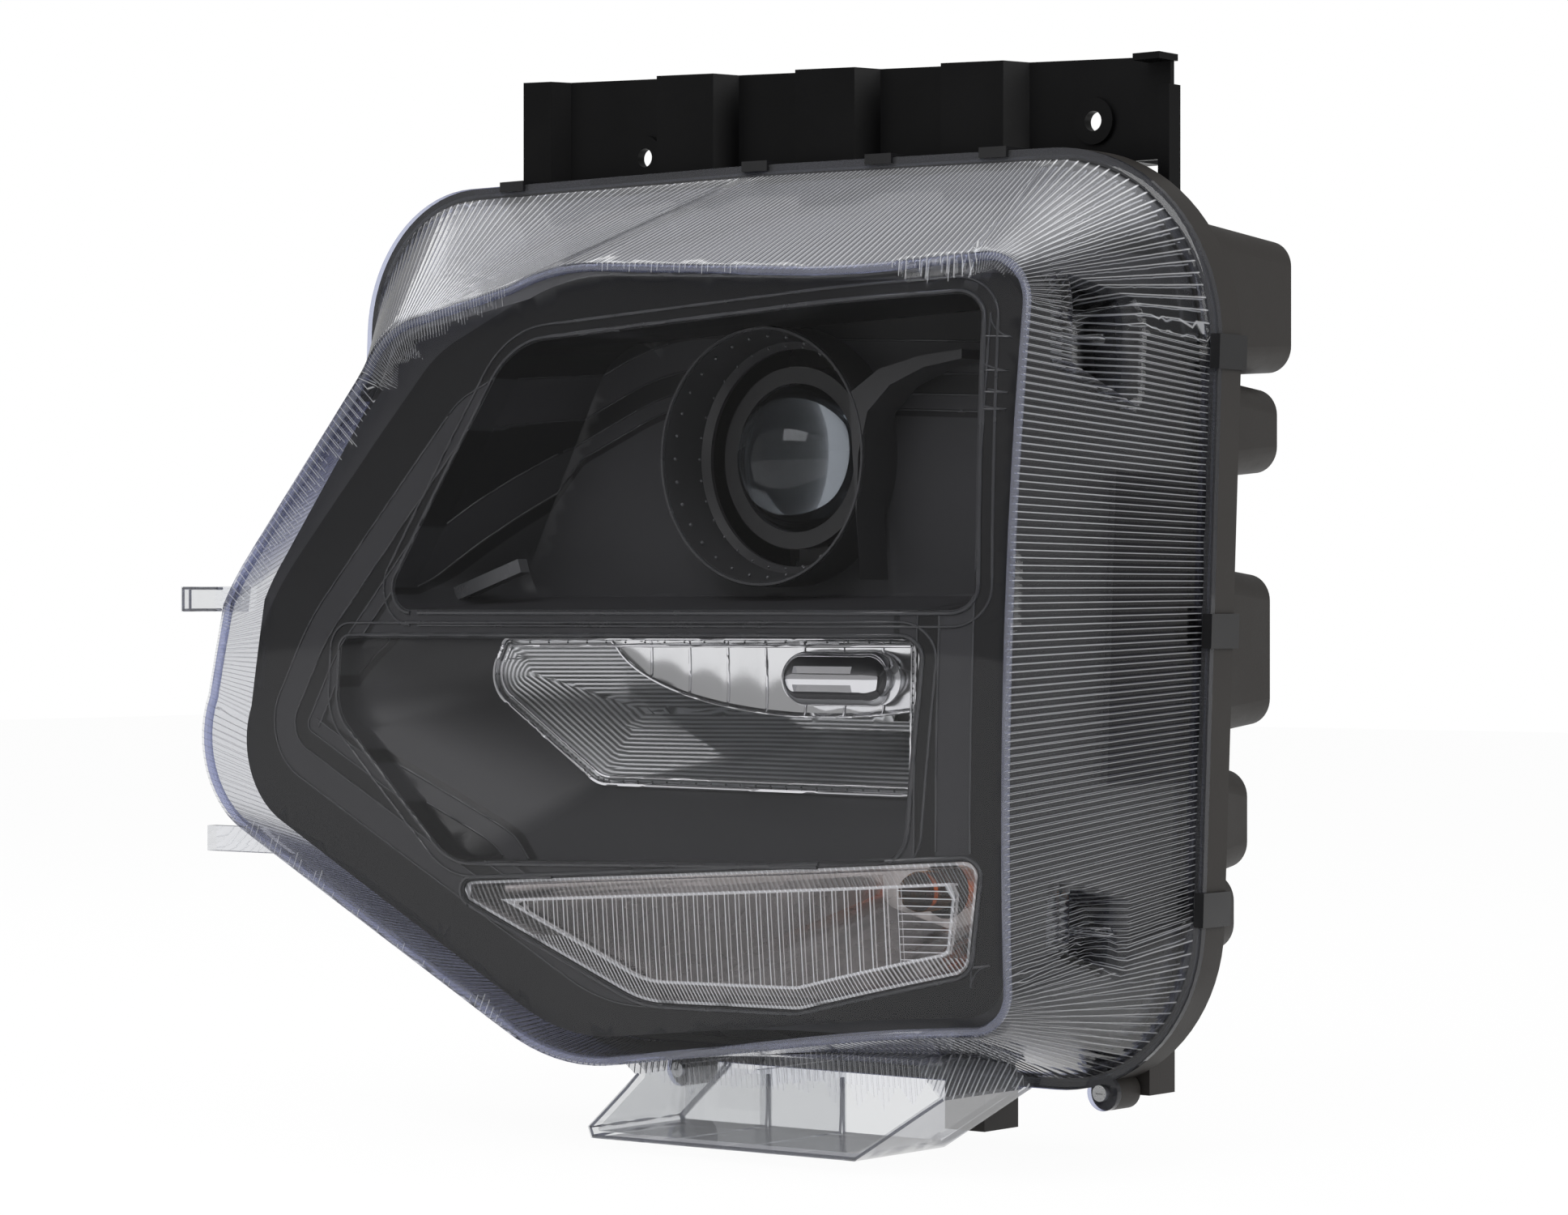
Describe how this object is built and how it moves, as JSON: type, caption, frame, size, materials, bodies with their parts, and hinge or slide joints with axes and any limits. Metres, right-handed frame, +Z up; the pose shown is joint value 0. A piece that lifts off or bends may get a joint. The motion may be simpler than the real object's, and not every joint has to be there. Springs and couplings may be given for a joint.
{
  "type": "car headlight assembly",
  "caption": "Vehicle headlamp with clear wrap-round lens, dark bezel, projector low beam, daytime and turn lamps, rear access caps and a ribbed top bracket.",
  "frame": {"origin": "midway between the two bolt holes of the top bracket, on the bracket's front face", "axes": "+X outboard, the viewer's right from the front; -Y forward, the way the lamp shines; +Z up"},
  "size_m": [0.5182, 0.2961, 0.494],
  "materials": {
    "housing_plastic": "matte",
    "clear_lens": "gloss",
    "black_rubber": "matte",
    "clip_steel": "satin",
    "bracket_steel": "satin",
    "screw_steel": "satin",
    "black_plastic": "satin",
    "gold_contact": "gloss",
    "bezel_plastic": "satin",
    "chrome_plate": "gloss",
    "signal_lens": "gloss",
    "cast_aluminium": "satin",
    "bowl_aluminium": "gloss",
    "optic_glass": "gloss",
    "bulb_glass": "gloss",
    "amber_glass": "gloss",
    "nylon": "matte",
    "zinc_steel": "satin"
  },
  "bodies": {
    "lamp": {"rear_housing": "housing_plastic", "outer_lens": "clear_lens", "lens_seal": "black_rubber", "retaining_clips": "clip_steel", "top_bracket": "bracket_steel", "bracket_screws": "screw_steel", "lens_screws": "screw_steel", "main_connector": "black_plastic", "connector_pins": "gold_contact", "vent_caps": "black_rubber", "bezel": "bezel_plastic", "bezel_screws": "screw_steel", "projector_shroud": "bezel_plastic", "drl_reflector": "chrome_plate", "bulb_shield": "chrome_plate", "turn_lens": "signal_lens", "turn_reflector": "chrome_plate", "pivot_pins": "zinc_steel", "adjuster_case": "black_plastic"},
    "projector": {"carrier": "cast_aluminium", "pivot_bushes": "nylon", "reflector_bowl": "bowl_aluminium", "lens_holder": "cast_aluminium", "projector_lens": "optic_glass", "lens_ring": "cast_aluminium", "holder_screws": "screw_steel", "shutter_pin": "zinc_steel", "shutter_spring": "screw_steel", "solenoid": "black_plastic", "ball_socket": "nylon"},
    "shutter": {"cutoff_shutter": "zinc_steel"},
    "plunger": {"solenoid_plunger": "zinc_steel"},
    "low_beam": {"low_beam_base": "black_plastic", "low_beam_bulb": "bulb_glass"},
    "adjuster_screw": {"adjuster_drive": "nylon"},
    "adjuster_rod": {"ball_stud": "zinc_steel"},
    "drl_lamp": {"drl_socket": "black_plastic", "drl_bulb": "bulb_glass"},
    "turn_lamp": {"turn_socket": "black_plastic", "turn_bulb": "amber_glass"},
    "upper_access_cap": {"projector_cap": "black_plastic", "projector_cap_seal": "black_rubber"},
    "lower_access_cap": {"lower_cap": "black_plastic", "lower_cap_seal": "black_rubber"}
  },
  "joints": [
    {"name": "adjuster_turn", "type": "hinge", "parent": "lamp", "child": "adjuster_screw", "pos_m": [0.091, 0.029, -0.201], "axis": [0, 1, 0], "range_deg": [-1030, 1030]},
    {"name": "projector_tilt", "type": "hinge", "parent": "lamp", "child": "projector", "pos_m": [0.041, -0.019, -0.103], "axis": [1, 0, 0], "range_deg": [-2.5, 2.5]},
    {"name": "adjuster_rod_slide", "type": "slide", "parent": "lamp", "child": "adjuster_rod", "axis": [0, 1, 0], "range_m": [-0.0043, 0.0043]},
    {"name": "shutter_swing", "type": "hinge", "parent": "projector", "child": "shutter", "pos_m": [0.041, -0.051, -0.181], "axis": [1, 0, 0], "range_deg": [0, 20], "stiffness_Nm_per_rad": 0.003, "springref_deg": -57.3},
    {"name": "plunger_slide", "type": "slide", "parent": "projector", "child": "plunger", "axis": [0, 1, 0], "range_m": [0, 0.0069]},
    {"name": "low_beam_twist", "type": "hinge", "parent": "projector", "child": "low_beam", "pos_m": [0.041, 0.034, -0.151], "axis": [0, 1, 0], "range_deg": [0, 60]},
    {"name": "drl_bulb_twist", "type": "hinge", "parent": "lamp", "child": "drl_lamp", "pos_m": [0.07, -0.06, -0.255], "axis": [0, 1, 0], "range_deg": [0, 60]},
    {"name": "turn_bulb_twist", "type": "hinge", "parent": "lamp", "child": "turn_lamp", "pos_m": [0.078, -0.023, -0.343], "axis": [0, 1, 0], "range_deg": [0, 60]},
    {"name": "upper_cap_twist", "type": "hinge", "parent": "lamp", "child": "upper_access_cap", "pos_m": [0.041, 0.087, -0.151], "axis": [0, 1, 0], "range_deg": [0, 60]},
    {"name": "lower_cap_twist", "type": "hinge", "parent": "lamp", "child": "lower_access_cap", "pos_m": [0.066, 0.067, -0.265], "axis": [0, 1, 0], "range_deg": [0, 60]}
  ],
  "couplings": [
    {"joint": "adjuster_turn", "follows": "projector_tilt", "ratio": 410.5},
    {"joint": "adjuster_rod_slide", "follows": "projector_tilt", "m_per_rad": 0.098},
    {"joint": "shutter_swing", "follows": "plunger_slide", "rad_per_m": 50}
  ]
}
